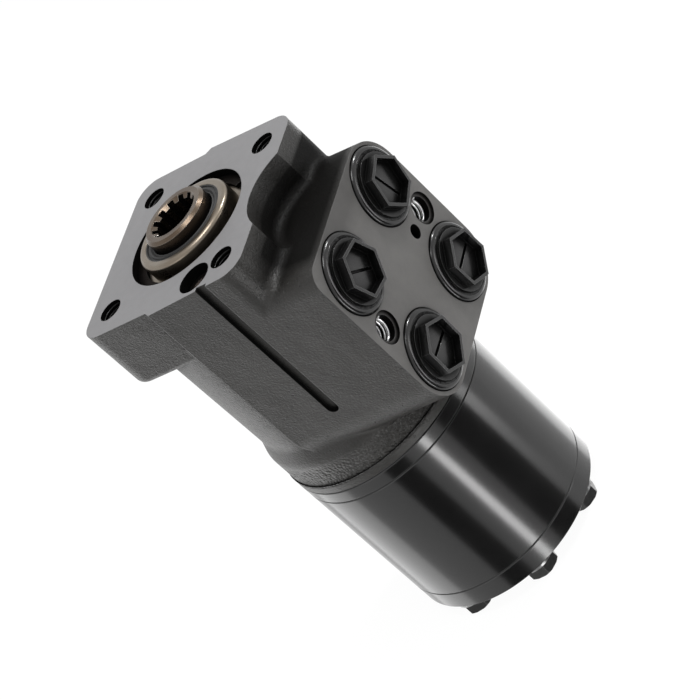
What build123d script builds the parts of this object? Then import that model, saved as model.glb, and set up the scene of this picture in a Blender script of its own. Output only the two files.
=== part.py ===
from build123d import *
from math import asin, copysign, cos, degrees, hypot, pi, radians, sin, sqrt, tan
import os

# Hydraulic steering valve for a column-mounted steering wheel.
# Millimetres. The origin is on the face of the column flange, on the valve's axis.
# Z rises out of that face towards the column and X leaves the face with the four ports.

# Heights of the casting and of the stack bolted to its end
housing_length = 107.8
plate_thickness = 6.0
ring_height = 62.9
cap_thickness = 9.1
plate_top = housing_length
ring_top = plate_top + plate_thickness
cap_top = ring_top + ring_height
cap_bottom = cap_top + cap_thickness

# Round body
body_radius = 44.2
seam_chamfer = 0.4
skirt_step = 0.5
neck_step = 2.4
neck_taper = 0.6
skirt_height = 16.8
flare_height = 7.0
flare_radius = 9.0
band_height = 4.4
skirt_radius = body_radius - skirt_step
neck_radius = body_radius - neck_step
skirt_top = housing_length - skirt_height

# Column flange
flange_front_x = 41.0
flange_back_x = 40.4
flange_half_width = 41.3
flange_corner_radius = 9.0
flange_depth = 29.0
flange_lip_radius = 3.0
shoulder_ramp = 2.5
neck_overlap = 8.0
column_bolt_circle = 82.5
column_bolt_diameter = 10.0
column_bolt_depth = 19.0
half_bolt = column_bolt_circle / 2 / sqrt(2)
scallop_radius = 24.4
scallop_center_x = 57.6

# Levels of the ports and of the block around them, down from the column face
port_upper = 34.3
port_foot = 29.0
block_head = 17.3
block_sill = 17.5
port_lower = housing_length - port_foot
block_top = port_upper - block_head
block_bottom = port_lower + block_sill

# Port block
port_face_x = 60.0
block_back_x = -3.0
block_half_width = 39.7
block_draft = 3.4
block_round = 17.5
block_tight_round = 7.0
block_heel_round = 19.0
pocket_radius = 4.0
groove_x = 23.2
groove_width = 5.0
groove_depth = 1.6
groove_stop = 23.3
groove_end = block_bottom - groove_stop

# Ports and their plastic plugs
port_y = 22.0
port_bore_radius = 10.4
port_bore_depth = 17.0
gallery_radius = 4.5
spotface_depth = 0.8
spotface_gap = 1.4
plug_stem_gap = 0.4
plug_stem_length = 12.0
plug_collar_radius = 14.6
plug_collar_thickness = 2.2
plug_collar_bevel = 0.5
plug_step_radius = 12.6
plug_step_thickness = 0.9
plug_hex_flats = 19.6
plug_rim_height = 6.0
plug_wall = 1.2
plug_cup_depth = 3.5
plug_slot_width = 1.3
plug_slot_depth = 1.0
plug_slot_margin = 0.3
plug_turns = [71.0, 110.0, -28.0, -32.0]
spotface_radius = plug_collar_radius + spotface_gap
port_spots = [(side * port_y, level) for level in (port_upper, port_lower) for side in (1, -1)]

# Screw holes for a bolted-on valve block, with a dowel hole
block_bolt_spacing = 60.0
block_bolt_drop = 21.7
block_bolt_diameter = 10.0
block_bolt_depth = 18.0
block_bolt_mouth = 13.0
block_bolt_mouth_depth = 1.0
dowel_y = 17.75
dowel_radius = 2.9
dowel_depth = 6.0
block_bolt_level = port_upper + block_bolt_drop

# Rotary valve: spool inside sleeve inside housing bore
spool_radius = 14.25
sleeve_wall = 4.75
running_clearance = 0.04
face_gap = 0.05
press_gap = 0.02
spool_rise = 7.5
spool_bevel = 1.2
spool_end_gap = 2.8
spool_slot_count = 12
spool_slot_width = 2.6
spool_slot_depth = 1.3
feed_slot_rise = 2.0
feed_slot_drop = 4.0
sleeve_end_gap = 0.3
annulus_depth = 1.2
annulus_width = 7.0
return_drop = 10.7
motor_rise = 12.8
commutator_rise = 10.3
bore_radius = spool_radius + sleeve_wall
sleeve_radius = bore_radius - running_clearance
sleeve_bore = spool_radius + running_clearance
sleeve_end = housing_length - sleeve_end_gap
spool_end = housing_length - spool_end_gap
commutator_level = housing_length - commutator_rise
return_level = port_upper + return_drop
motor_level = port_lower - motor_rise
annulus_levels = [port_upper, return_level, motor_level, port_lower]
sleeve_hole_levels = annulus_levels + [commutator_level + 0.5]
sleeve_hole_count = [6, 12, 6, 6, 12]
sleeve_hole_radii = [1.5, 1.0, 1.5, 1.5, 1.3]
spool_slot_levels = [(return_level - 3.0, motor_level + 4.0), (motor_level - 4.0, port_lower + 1.2)]

# Input spline in the hub and drive spline in the rotor, twelve teeth each
spline_teeth = 12
input_wall = 3.8
input_tooth_height = 1.6
input_slot_width = 2.7
input_depth = 27.0
input_mouth_step = 0.4
input_mouth_depth = 1.4
drive_root_radius = 10.5
drive_tooth_height = 1.5
drive_slot_width = 2.9
input_root_radius = spool_radius - input_wall
input_tip_radius = input_root_radius - input_tooth_height
input_end = input_depth - spool_rise
drive_tip_radius = drive_root_radius - drive_tooth_height

# Centring springs and the ring that keeps them in the sleeve
spring_level = 24.0
spring_height = 5.6
spring_leaf = 0.4
spring_slot_width = 5.2
spring_slot_gap = 0.1
spring_end_gap = 0.5
centring_angle = 8.0
spring_slot_spare = 1.0
ring_seat_depth = 1.6
ring_seat_length = 3.0
spring_ring_rise = 4.4
ring_seat_radius = sleeve_radius - ring_seat_depth
ring_seat_end = spring_level + spring_height / 2 + ring_seat_length

# Cross pin and drive link
pin_rise = 19.8
pin_radius = 4.0
pin_end_gap = 1.0
pin_bevel = 0.5
pin_swing = 2.2
link_bore_wall = 4.25
link_bore_rise = 12.0
link_shaft_radius = 6.5
link_head_gap = 1.0
link_head_rise = 7.0
link_head_bevel = 1.5
link_slot_gap = 0.2
link_slot_floor = 1.0
link_tooth_gap = 0.3
link_tip_gap = 0.5
link_root_gap = 1.0
link_spline_half = 6.0
link_button = 1.2
crown_share = 0.9
spacer_gap = 0.4
spacer_lift = 2.4
pin_level = housing_length - pin_rise
pin_length = 2 * (bore_radius - pin_end_gap)
link_bore_radius = spool_radius - link_bore_wall
link_bore_top = pin_level - link_bore_rise
link_head_radius = link_bore_radius - link_head_gap
link_level = ring_top + ring_height / 2
link_tip_radius = drive_root_radius - link_tip_gap
link_root_radius = drive_tip_radius - link_root_gap
link_tooth_width = drive_slot_width - 2 * link_tooth_gap

# Cap screws, washers and the grooves of the face seals
screw_edge = 7.8
screw_radius = 4.0
screw_clearance = 0.2
screw_engagement = 14.0
screw_hole_spare = 2.0
screw_head_flats = 13.0
screw_head_height = 5.0
screw_head_bevel = 0.8
pin_tip_length = 5.0
washer_radius = 7.6
washer_thickness = 1.0
seal_land = 5.2
seal_width = 1.2
seal_height = 1.05
screw_circle_radius = body_radius - screw_edge
seal_circle_radius = screw_circle_radius - seal_land

# Gerotor set
lobe_count = 7
lobe_circle_step = 0.2
lobe_radius = 7.0
eccentricity = 3.0
gerotor_clearance = 0.1
chamber_port_step = 4.5
chamber_port_diameter = 5.0
lobe_circle_radius = seal_circle_radius - lobe_circle_step
chamber_port_radius = lobe_circle_radius - chamber_port_step
cavity_radius = lobe_circle_radius - lobe_radius + 2 * eccentricity + gerotor_clearance
rotor_teeth = lobe_count - 1
steps_per_tooth = 20
link_span = hypot(link_level - pin_level, eccentricity)
link_tilt = degrees(asin(eccentricity / link_span))

# Shaft gland, its seals and its retaining ring
gland_wall = 7.25
gland_rise = 2.6
gland_depth = 14.0
gland_shoulder = 3.0
gland_shoulder_thickness = 3.0
gland_shaft_gap = 0.35
gland_bore_gap = 0.05
gland_bevel = 0.8
gland_seal_depth = 1.1
gland_seal_width = 1.8
gland_seal_level = 12.2
seal_lip_gap = 0.1
recess_gap = 2.75
recess_depth = 8.0
retaining_ring_thickness = 1.6
retaining_groove_depth = 1.2
retaining_spring_gap = 0.15
retaining_overlap = 1.3
retaining_gap = 9.0
retaining_gap_turn = 33.0
dust_seal_width = 3.75
dust_seal_thickness = 3.6
shaft_seal_width = 4.35
shaft_seal_thickness = 4.0
shaft_seal_level = 6.5
gland_radius = spool_radius + gland_wall
gland_shoulder_radius = gland_radius + gland_shoulder
recess_radius = gland_shoulder_radius + recess_gap
gland_bore_radius = spool_radius + gland_shaft_gap
gland_seal_top = gland_seal_level - gland_seal_width / 2
gland_seal_bottom = gland_seal_level + gland_seal_width / 2
retaining_bottom = recess_depth - gland_shoulder_thickness
retaining_top = retaining_bottom - retaining_ring_thickness
dust_seal_radius = spool_radius + dust_seal_width
dust_seal_bottom = dust_seal_thickness - gland_rise
shaft_seal_radius = spool_radius + shaft_seal_width

# Thrust bearing between the gland and the sleeve
race_thickness = 1.0
race_edge_gap = 0.3
needle_radius = 1.0
needle_margin = 1.0
needle_gap = 0.05
cage_rim = 0.5
needle_count = 18
bearing_pocket_spare = 1.85
race_radius = gland_radius - race_edge_gap
needle_length = race_radius - gland_bore_radius - 2 * needle_margin
race_top = gland_depth + face_gap
cage_top = race_top + race_thickness
lower_race_top = cage_top + 2 * needle_radius + 2 * face_gap
sleeve_top = lower_race_top + race_thickness
bearing_pocket_end = sleeve_top + bearing_pocket_spare

# Check valve in the column face
check_turn = -63.23
check_wall = 2.4
check_bore_radius = 6.9
check_bore_depth = 14.0
check_seat_radius = 4.0
check_ball_radius = 4.45
check_ball_travel = 1.3
check_socket_radius = 3.2
check_bushing_sink = 1.2
check_bushing_bevel = 0.6
check_reach = recess_radius + retaining_groove_depth + check_wall + check_bore_radius
check_x = check_reach * cos(radians(check_turn))
check_y = check_reach * sin(radians(check_turn))
ball_center_rise = sqrt(check_ball_radius ** 2 - check_seat_radius ** 2)

# How far a cut or a union runs past the face it meets
past = 1.0
rests_on_floor = (Align.CENTER, Align.CENTER, Align.MIN)


def block_half_at(x):
    return block_half_width + (port_face_x - x) * tan(radians(block_draft))


def tube(outer, inner, top, bottom):
    ring = Circle(outer) - Circle(inner)
    return Pos(0, 0, -bottom) * extrude(ring, bottom - top)


def rod(radius, top, bottom, x=0.0, y=0.0):
    return Pos(x, y, -bottom) * extrude(Circle(radius), bottom - top)


def rod_along_x(radius, start, end, y, level):
    plane = Plane(origin=(start, y, -level), x_dir=(0, 1, 0), z_dir=(1, 0, 0))
    return extrude(plane * Circle(radius), end - start)


def rod_between(start, end, radius):
    start, end = Vector(*start), Vector(*end)
    plane = Plane(origin=start, z_dir=end - start)
    return extrude(plane * Circle(radius), (end - start).length)


def across(radius, level, reach):
    return Pos(0, reach, -level) * Rot(90, 0, 0) * extrude(Circle(radius), 2 * reach)


def polar(radius, count, offset=0.0):
    step = 360 / count
    return [Rot(0, 0, (i + offset) * step) * Pos(radius, 0, 0) for i in range(count)]


# Cast housing
def flange_outline():
    front = block_half_at(flange_front_x)
    back = block_half_at(block_back_x)
    side = [(flange_front_x, front), (block_back_x, back)]
    side += [(block_back_x - shoulder_ramp, flange_half_width), (-flange_back_x, flange_half_width)]
    mirrored = [(x, -y) for x, y in reversed(side)]
    outline = make_face(Polyline(*side, *mirrored, close=True))
    corners = [v for v in outline.vertices() if abs(v.X) > flange_back_x - past]
    outline = fillet(corners, flange_corner_radius)
    return outline - Pos(scallop_center_x, 0) * Circle(scallop_radius)


def flange_blank():
    blank = Pos(0, 0, -flange_depth) * extrude(flange_outline(), flange_depth)
    under = blank.faces().sort_by(Axis.Z)[0]
    lip = [e for e in under.edges() if e.center().X < block_back_x - shoulder_ramp]
    return fillet(lip, flange_lip_radius)


def port_block():
    plan_view = [(block_back_x, block_half_at(block_back_x)), (port_face_x, block_half_width)]
    plan_view += [(x, -y) for x, y in reversed(plan_view)]
    outline = make_face(Polyline(*plan_view, close=True))
    block = Pos(0, 0, -block_bottom) * extrude(outline, block_bottom - block_top)
    for tight, size in ((True, block_tight_round), (False, block_round)):
        long_edges = block.edges().filter_by(lambda e: abs(e.tangent_at(0.5).X) > 0.9)
        corners = [e for e in long_edges if (e.center().Y < 0 and e.center().Z > -block_bottom / 2) == tight]
        block = fillet(corners, size)
    reach = 2 * port_face_x
    heel = Pos(block_back_x, 0) * Rectangle(reach, block_bottom + reach, align=(Align.MIN, Align.MIN))
    heel = Pos(0, -block_bottom) * heel
    corner = [v for v in heel.vertices() if v.X < 0 and v.Y < 0]
    envelope = extrude(Plane.XZ * fillet(corner, block_heel_round), reach, both=True)
    return block & envelope


def round_body():
    top = neck_overlap - flange_depth
    profile = [
        (0, top),
        (neck_radius, top),
        (neck_radius - neck_taper, flare_height - skirt_top),
        (skirt_radius, -skirt_top),
        (skirt_radius, -housing_length + band_height),
        (body_radius, -housing_length + band_height),
        (body_radius, -housing_length),
        (0, -housing_length),
    ]
    face = make_face(Plane.XZ * Polyline(*profile, close=True))
    bends = [v for v in face.vertices() if 0 <= v.Z + skirt_top <= flare_height and v.X > 0]
    face = fillet(bends, flare_radius)
    turned = revolve(face, Axis.Z)
    rim = turned.edges().filter_by(GeomType.CIRCLE).sort_by(Axis.Z)[:1]
    return chamfer(rim, seam_chamfer)


def casting_blank():
    flange = flange_blank()
    block = port_block()
    head = flange + block
    pocket = [e for e in new_edges(flange, block, combined=head) if e.center().Z > past - flange_depth]
    head = fillet(pocket, pocket_radius)
    body = round_body()
    whole = head + body
    joint = new_edges(head, body, combined=whole)
    underside = [e for e in joint if e.center().Z < pocket_radius - skirt_top and e.length > past]
    whole = fillet(underside, pocket_radius)
    return whole


def side_groove():
    bottom = groove_end - groove_width / 2
    slot = Pos(groove_x, -bottom / 2) * Rectangle(groove_width, bottom)
    slot += Pos(groove_x, -bottom) * Circle(groove_width / 2)
    floor = groove_depth - block_half_at(groove_x)
    return Pos(0, floor, 0) * extrude(Plane.XZ * slot, port_y)


def column_holes():
    spots = [(x, y) for x in (-half_bolt, half_bolt) for y in (-half_bolt, half_bolt)]
    return [rod(column_bolt_diameter / 2, -past, column_bolt_depth, x, y) for x, y in spots]


def gland_bore():
    return [
        rod(recess_radius, -past, recess_depth),
        rod(recess_radius + retaining_groove_depth, retaining_top, retaining_bottom),
        rod(gland_radius + gland_bore_gap, recess_depth - past, bearing_pocket_end),
    ]


def valve_bore():
    return [rod(bore_radius, recess_depth, housing_length + past)]


def chamber_passages():
    start = (bore_radius - 2 * past, 0, -commutator_level)
    end = (chamber_port_radius, 0, -housing_length - past / 2)
    passage = rod_between(start, end, chamber_port_diameter / 2)
    return [turn * passage for turn in polar(0, lobe_count, 0.5)]


def port_cuts():
    cuts = []
    for (y, level), annulus in zip(port_spots, annulus_levels):
        floor = port_face_x - port_bore_depth
        cuts.append(rod_along_x(spotface_radius, port_face_x - spotface_depth, port_face_x + past, y, level))
        cuts.append(rod_along_x(port_bore_radius, floor, port_face_x, y, level))
        inner = (bore_radius / 2, copysign(bore_radius / 2, y), -annulus)
        cuts.append(rod_between((floor + past, y, -level), inner, gallery_radius))
    return cuts


def valve_block_holes():
    cuts = []
    for y in (-block_bolt_spacing / 2, block_bolt_spacing / 2):
        mouth = port_face_x - block_bolt_mouth_depth
        floor = port_face_x - block_bolt_depth
        cuts.append(rod_along_x(block_bolt_mouth / 2, mouth, port_face_x + past, y, block_bolt_level))
        cuts.append(rod_along_x(block_bolt_diameter / 2, floor, mouth, y, block_bolt_level))
    floor = port_face_x - dowel_depth
    cuts.append(rod_along_x(dowel_radius, floor, port_face_x + past, dowel_y, block_bolt_level))
    return cuts


def check_passage():
    seat_end = check_bore_depth + check_seat_radius
    y, level = port_spots[1]
    port_floor = (port_face_x - port_bore_depth + 2 * past, y, -level)
    return [
        rod(check_bore_radius, -past, check_bore_depth, check_x, check_y),
        rod(check_seat_radius, check_bore_depth - past, seat_end, check_x, check_y),
        rod_between((check_x, check_y, 2 * past - seat_end), port_floor, check_seat_radius - past),
    ]


def screw_holes(radius, top, bottom):
    hole = rod(radius, top, bottom)
    return [spot * hole for spot in polar(screw_circle_radius, lobe_count)]


def seal_groove(top, bottom):
    return tube(seal_circle_radius + seal_width / 2, seal_circle_radius - seal_width / 2, top, bottom)


def housing():
    body = casting_blank()
    cuts = [side_groove()] + column_holes() + gland_bore() + valve_bore() + chamber_passages()
    cuts += port_cuts() + valve_block_holes() + check_passage()
    hole_end = housing_length - screw_engagement - screw_hole_spare
    cuts += screw_holes(screw_radius, hole_end, housing_length + past)
    cuts.append(seal_groove(housing_length - seal_height, housing_length + past))
    return body - cuts


# Shaft gland and its seals
def gland_bushing():
    body = rod(gland_radius, -gland_rise, gland_depth)
    rim = body.faces().sort_by(Axis.Z)[-1].edges()
    body = chamfer(rim, gland_bevel)
    body += rod(gland_shoulder_radius, recess_depth - gland_shoulder_thickness, recess_depth)
    body -= rod(gland_bore_radius, -gland_rise - past, gland_depth + past)
    body -= rod(dust_seal_radius, -gland_rise - past, dust_seal_bottom)
    body -= rod(shaft_seal_radius, shaft_seal_level, shaft_seal_level + shaft_seal_thickness)
    body -= tube(gland_radius + past, gland_radius - gland_seal_depth, gland_seal_top, gland_seal_bottom)
    return body


def turned_ring(profile):
    return revolve(make_face(Plane.XZ * Polyline(*profile, close=True)), Axis.Z)


def dust_seal():
    top, bottom = gland_rise - 0.3, -dust_seal_bottom
    lip = spool_radius + seal_lip_gap
    profile = [
        (dust_seal_radius, bottom),
        (dust_seal_radius, top),
        (lip + 1.4, top),
        (lip, top - 0.9),
        (lip + 0.5, top - 1.8),
        (gland_bore_radius + 1.0, bottom),
    ]
    return turned_ring(profile)


def shaft_seal():
    top, bottom = -shaft_seal_level, -shaft_seal_level - shaft_seal_thickness
    lip = spool_radius + seal_lip_gap
    profile = [
        (shaft_seal_radius, bottom),
        (shaft_seal_radius, top),
        (lip + 1.5, top),
        (lip + 1.1, bottom + 1.6),
        (lip, bottom + 1.2),
        (lip + 0.6, bottom),
    ]
    return turned_ring(profile)


def squeezed_seal(inner, outer, top, bottom):
    section = Ellipse((outer - inner) / 2, (bottom - top) / 2)
    section = Plane.XZ * Pos((inner + outer) / 2, -(top + bottom) / 2) * section
    return revolve(section, Axis.Z)


def gland_seal():
    inner = gland_radius - gland_seal_depth
    return squeezed_seal(inner, gland_radius + gland_bore_gap, gland_seal_top, gland_seal_bottom)


def retaining_ring():
    outer = recess_radius + retaining_groove_depth - retaining_spring_gap
    ring = tube(outer, gland_shoulder_radius - retaining_overlap, retaining_top, retaining_bottom)
    gap = Rot(0, 0, retaining_gap_turn) * Pos(recess_radius, 0, -recess_depth / 2)
    return ring - gap * Box(recess_radius, retaining_gap, recess_depth)


# Thrust bearing between the gland and the sleeve
def bearing_race(top):
    return tube(race_radius, gland_bore_radius, top, top + race_thickness)


def needle_cage():
    middle = cage_top + needle_radius + face_gap
    pitch = (race_radius + gland_bore_radius) / 2
    reach = needle_length / 2 + cage_rim
    cage = tube(pitch + reach, pitch - reach, middle - needle_radius / 2, middle + needle_radius / 2)
    pocket = Box(needle_length + 2 * needle_gap, 2 * (needle_radius + needle_gap), 3 * needle_radius)
    needle = Rot(0, 90, 0) * Cylinder(needle_radius, needle_length)
    spots = [Pos(0, 0, -middle) * spot for spot in polar(pitch, needle_count)]
    cage -= [spot * pocket for spot in spots]
    return Compound(children=[cage] + [spot * needle for spot in spots])


# Spool, sleeve and what centres them
def splined_hole(tip, root, slot_width, top, bottom):
    slot = Pos((tip + root) / 2, 0) * Rectangle(root - tip + 2 * past, slot_width)
    outline = Circle(tip)
    for turn in polar(0, spline_teeth):
        outline += turn * slot
    outline &= Circle(root)
    return Pos(0, 0, -bottom) * extrude(outline, bottom - top)


def spool():
    body = rod(spool_radius, -spool_rise, spool_end)
    ends = body.edges().filter_by(GeomType.CIRCLE)
    body = chamfer(ends.sort_by(Axis.Z)[-1:], spool_bevel)
    body -= splined_hole(input_tip_radius, input_root_radius, input_slot_width, -spool_rise - past, input_end)
    mouth = Pos(0, 0, spool_rise - input_mouth_depth)
    mouth_radius = input_root_radius + input_mouth_step
    body -= mouth * Cone(input_tip_radius, mouth_radius, input_mouth_depth, align=rests_on_floor)
    body -= rod(link_bore_radius, link_bore_top, spool_end + past)
    for turn in (-centring_angle - spring_slot_spare, 0, centring_angle + spring_slot_spare):
        body -= Rot(0, 0, turn) * spring_slot()
    body -= across(pin_radius + pin_swing, pin_level, spool_radius + past)
    for i, turn in enumerate(polar(spool_radius, spool_slot_count, 0.5)):
        top, bottom = spool_slot_levels[i % 2]
        body -= turn * spool_slot(top, bottom)
    for turn in polar(spool_radius, rotor_teeth, 0.5):
        body -= turn * spool_slot(commutator_level - feed_slot_rise, commutator_level + feed_slot_drop)
    return body


def spool_slot(top, bottom):
    return Pos(0, 0, -(top + bottom) / 2) * Box(2 * spool_slot_depth, spool_slot_width, bottom - top)


def spring_slot():
    height = spring_height + 2 * spring_slot_gap
    return Pos(0, 0, -spring_level) * Box(2 * (bore_radius + past), spring_slot_width, height)


def sleeve():
    body = tube(sleeve_radius, sleeve_bore, sleeve_top, sleeve_end)
    body -= tube(bore_radius + past, ring_seat_radius, sleeve_top - past, ring_seat_end)
    body -= spring_slot()
    body -= across(pin_radius + press_gap, pin_level, bore_radius + past)
    for level in annulus_levels:
        groove = tube(bore_radius + past, sleeve_radius - annulus_depth, 0, annulus_width)
        body -= Pos(0, 0, annulus_width / 2 - level) * groove
    for level, count, radius in zip(sleeve_hole_levels, sleeve_hole_count, sleeve_hole_radii):
        hole = rod_along_x(radius, spool_radius - past, bore_radius + past, 0, level)
        body -= [turn * hole for turn in polar(0, count, 0.5)]
    return body


def spring_ring():
    top, bottom = spring_level - spring_ring_rise, ring_seat_end - press_gap
    return tube(sleeve_radius, ring_seat_radius + press_gap, top, bottom)


def bowed_leaf(side, half):
    reach, arch = spring_slot_width / 2 - spring_slot_gap, 2 * spring_leaf
    near, far = side * (reach - spring_leaf), side * reach
    inner = ThreePointArc((-half, near), (0, side * arch), (half, near))
    outer = ThreePointArc((-half, far), (0, side * (arch + spring_leaf)), (half, far))
    return make_face([inner, outer, Line(inner @ 0, outer @ 0), Line(inner @ 1, outer @ 1)])


def centring_springs():
    half = ring_seat_radius - spring_end_gap
    outlines = [Pos(0, (i - 1.5) * spring_leaf) * Rectangle(2 * half, spring_leaf) for i in range(4)]
    outlines += [bowed_leaf(side, half) for side in (-1, 1)]
    low = Pos(0, 0, -spring_level - spring_height / 2)
    return Compound(children=[low * extrude(outline, spring_height) for outline in outlines])


def cross_pin():
    pin = across(pin_radius, pin_level, pin_length / 2)
    return chamfer(pin.edges().filter_by(GeomType.CIRCLE), pin_bevel)


# Drive link, drawn upright about the cross pin and then leant onto the rotor's axis
def crowned_tooth():
    half, centre = link_spline_half, link_tooth_width / 2
    end = centre - half * sin(radians(link_tilt)) * crown_share
    left = ThreePointArc((-end, -half), (-centre, 0), (-end, half))
    right = ThreePointArc((end, -half), (centre, 0), (end, half))
    caps = [Line((-end, -half), (end, -half)), Line((-end, half), (end, half))]
    outline = make_face([left, right] + caps)
    plane = Plane(origin=(0, 0, -link_span), x_dir=(0, 1, 0), z_dir=(1, 0, 0))
    return extrude(plane * outline, link_tip_radius + past)


def crowned_barrel():
    half = link_spline_half
    top, bottom = -link_span + half, -link_span - half
    shoulder = link_tip_radius - half * sin(radians(link_tilt))
    curve = ThreePointArc((shoulder, top), (link_tip_radius, -link_span), (shoulder, bottom))
    sides = Polyline((shoulder, bottom), (0, bottom), (0, top), (shoulder, top))
    return revolve(make_face(Plane.XZ * make_face([curve, sides])), Axis.Z)


def drive_link():
    head = rod(link_head_radius, -link_head_rise, link_head_rise)
    head = chamfer(head.edges().filter_by(GeomType.CIRCLE), link_head_bevel)
    top, bottom = link_head_rise + past, -pin_radius - link_slot_floor
    width = 2 * (pin_radius + link_slot_gap)
    slot = Pos(0, 0, (top + bottom) / 2) * Box(width, 3 * link_head_radius, top - bottom)
    shaft = rod(link_shaft_radius, link_head_rise - past, link_span)
    teeth = [turn * crowned_tooth() for turn in polar(0, spline_teeth)]
    root = rod(link_root_radius, link_span - 2 * link_spline_half, link_span + 2 * link_spline_half)
    spline = crowned_barrel() & (teeth[0] + teeth[1:] + root)
    button = rod(link_shaft_radius - past, link_span, link_span + link_spline_half + link_button)
    link = head - slot + shaft + spline + button
    return Pos(0, 0, -pin_level) * Rot(0, -link_tilt, 0) * link


# Gerotor set, its face plates and its screws
def star_point(u):
    turns = lobe_count * u
    x = lobe_circle_radius * cos(u) - eccentricity * cos(turns)
    y = lobe_circle_radius * sin(u) - eccentricity * sin(turns)
    dx = lobe_count * eccentricity * sin(turns) - lobe_circle_radius * sin(u)
    dy = lobe_circle_radius * cos(u) - lobe_count * eccentricity * cos(turns)
    inset = (lobe_radius + gerotor_clearance) / hypot(dx, dy)
    return (x - dy * inset, y + dx * inset)


def rotor():
    steps = rotor_teeth * steps_per_tooth
    flank = Spline([star_point(2 * pi * i / steps) for i in range(steps)], periodic=True)
    top, bottom = ring_top + face_gap, cap_top - face_gap
    star = Pos(0, 0, -bottom) * extrude(make_face(flank), bottom - top)
    star -= splined_hole(drive_tip_radius, drive_root_radius, drive_slot_width, top - past, bottom + past)
    return Pos(eccentricity, 0, 0) * star


def spacer_disc():
    top = link_level + link_spline_half + spacer_lift
    return rod(drive_tip_radius - spacer_gap, top, cap_top - face_gap, eccentricity)


def stack_disc(top, bottom):
    disc = rod(body_radius, top, bottom)
    disc = chamfer(disc.edges().filter_by(GeomType.CIRCLE), seam_chamfer)
    return disc - screw_holes(screw_radius + screw_clearance, top - past, bottom + past)


def distributor_plate():
    plate = stack_disc(plate_top, ring_top) - rod(drive_root_radius, plate_top - past, ring_top + past)
    port = rod(chamber_port_diameter / 2, plate_top - past, ring_top + past)
    plate -= [spot * port for spot in polar(chamber_port_radius, lobe_count, 0.5)]
    return plate - seal_groove(ring_top - seal_height, ring_top + past)


def gerotor_ring():
    cavity = Circle(cavity_radius)
    cavity -= [spot * Circle(lobe_radius) for spot in polar(lobe_circle_radius, lobe_count)]
    inside = Pos(0, 0, -cap_top - past) * extrude(cavity, ring_height + 2 * past)
    return stack_disc(ring_top, cap_top) - inside


def end_cap():
    return stack_disc(cap_top, cap_bottom) - seal_groove(cap_top - past, cap_top + seal_height)


def face_seal(top):
    inner, outer = seal_circle_radius - seal_width / 2, seal_circle_radius + seal_width / 2
    return squeezed_seal(inner, outer, top, top + seal_height)


def cap_screw(tip):
    seat = cap_bottom + washer_thickness
    end = seat + screw_head_height
    hexagon = RegularPolygon(screw_head_flats / 2, 6, major_radius=False)
    head = Pos(0, 0, -end) * extrude(hexagon, screw_head_height)
    crown = rod(screw_head_flats / 2 / cos(pi / 6), seat, end)
    crown = chamfer(crown.faces().sort_by(Axis.Z)[0].edges(), screw_head_bevel)
    return (head & crown) + rod(screw_radius, tip, seat)


def cap_screws():
    screw = cap_screw(housing_length - screw_engagement)
    return Compound(children=[spot * screw for spot in polar(screw_circle_radius, lobe_count)[1:]])


def pin_screw():
    tip = housing_length - screw_engagement
    screw = cap_screw(tip + pin_tip_length - past) + rod(screw_radius / 2, tip - past, tip + pin_tip_length)
    return polar(screw_circle_radius, lobe_count)[0] * screw


def screw_washers():
    washer = tube(washer_radius, screw_radius + press_gap, cap_bottom, cap_bottom + washer_thickness)
    return Compound(children=[spot * washer for spot in polar(screw_circle_radius, lobe_count)])


# Check valve behind the hole in the column face
def check_ball():
    return Pos(check_x, check_y, ball_center_rise + face_gap - check_bore_depth) * Sphere(check_ball_radius)


def check_bushing():
    ball_top = check_bore_depth - ball_center_rise - check_ball_radius
    bottom = ball_top - check_ball_travel - 2 * face_gap
    body = rod(check_bore_radius, check_bushing_sink, bottom)
    body = chamfer(body.faces().sort_by(Axis.Z)[-1].edges(), check_bushing_bevel)
    socket = RegularPolygon(check_socket_radius, 6, major_radius=False)
    body -= Pos(0, 0, -bottom) * extrude(socket, bottom - check_bushing_sink)
    return Pos(check_x, check_y, 0) * body


# Plastic plug with a hexagonal cup, one in each port
def port_plug(turn):
    rim = spotface_depth + plug_rim_height
    collar_top = plug_collar_thickness
    step_top = collar_top + plug_step_thickness
    floor = rim - plug_cup_depth
    stem = extrude(Circle(port_bore_radius - plug_stem_gap), plug_stem_length + face_gap)
    stem = Pos(0, 0, -plug_stem_length) * stem
    collar = Pos(0, 0, face_gap) * extrude(Circle(plug_collar_radius), collar_top - face_gap)
    collar = chamfer(collar.faces().sort_by(Axis.Z)[-1].edges(), plug_collar_bevel)
    step = Pos(0, 0, collar_top) * extrude(Circle(plug_step_radius), plug_step_thickness)
    outer = RegularPolygon(plug_hex_flats / 2, 6, major_radius=False)
    inner = RegularPolygon(plug_hex_flats / 2 - plug_wall, 6, major_radius=False)
    cup = Pos(0, 0, step_top) * extrude(outer, rim - step_top)
    hollow = Pos(0, 0, floor) * extrude(inner, plug_cup_depth + past)
    slot_length = plug_hex_flats - 2 * (plug_wall + plug_slot_margin)
    slot = Rot(0, 0, 30) * Box(slot_length, plug_slot_width, 2 * plug_slot_depth)
    plug = stem + collar + step + cup - hollow - Pos(0, 0, floor) * slot
    return Rot(0, 0, turn) * plug


def seated_plugs():
    plugs = []
    for (y, level), turn in zip(port_spots, plug_turns):
        seat = (port_face_x - spotface_depth, y, -level)
        plane = Plane(origin=seat, x_dir=(0, 1, 0), z_dir=(1, 0, 0))
        plugs.append(plane * port_plug(turn))
    return plugs


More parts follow.
